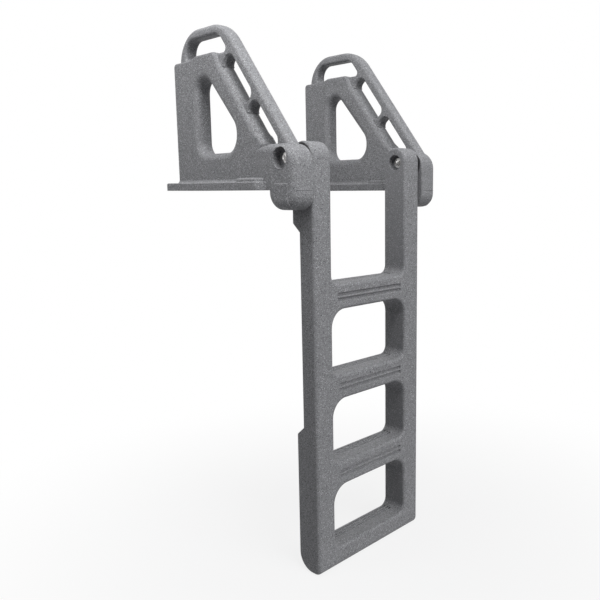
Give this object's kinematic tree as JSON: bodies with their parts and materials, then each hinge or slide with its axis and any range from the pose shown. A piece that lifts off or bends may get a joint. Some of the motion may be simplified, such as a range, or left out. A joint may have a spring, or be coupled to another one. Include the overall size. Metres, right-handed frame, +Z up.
{
  "type": "flip-up dock ladder",
  "caption": "Moulded swim ladder for a dock: a ladder panel with wide treads hangs from a pair of deck brackets with hand grips and swings up over the water and back onto the deck.",
  "frame": {"origin": "middle of the left bracket's foot, on the deck surface that it is bolted to", "axes": "+X from the left bracket to the right bracket, +Y from the water over the deck, +Z up"},
  "size_m": [0.7694, 0.65, 1.8275],
  "materials": {
    "moulding": "granite grey moulded polyethylene, fine speckle, matt",
    "fastener": "plain stainless steel"
  },
  "bodies": {
    "brackets": {"left_bracket": "moulding", "right_bracket": "moulding", "left_pivot_bolt": "fastener", "left_head_washer": "fastener", "left_spacer_washer": "fastener", "left_nut_washer": "fastener", "left_lock_nut": "fastener", "right_pivot_bolt": "fastener", "right_head_washer": "fastener", "right_spacer_washer": "fastener", "right_nut_washer": "fastener", "right_lock_nut": "fastener"},
    "panel": {"ladder_panel": "moulding"}
  },
  "joints": [
    {"name": "panel_swing", "type": "hinge", "parent": "brackets", "child": "panel", "pos_m": [0.305, -0.328, 0.097], "axis": [-1, 0, 0], "range_deg": [0, 270]}
  ]
}
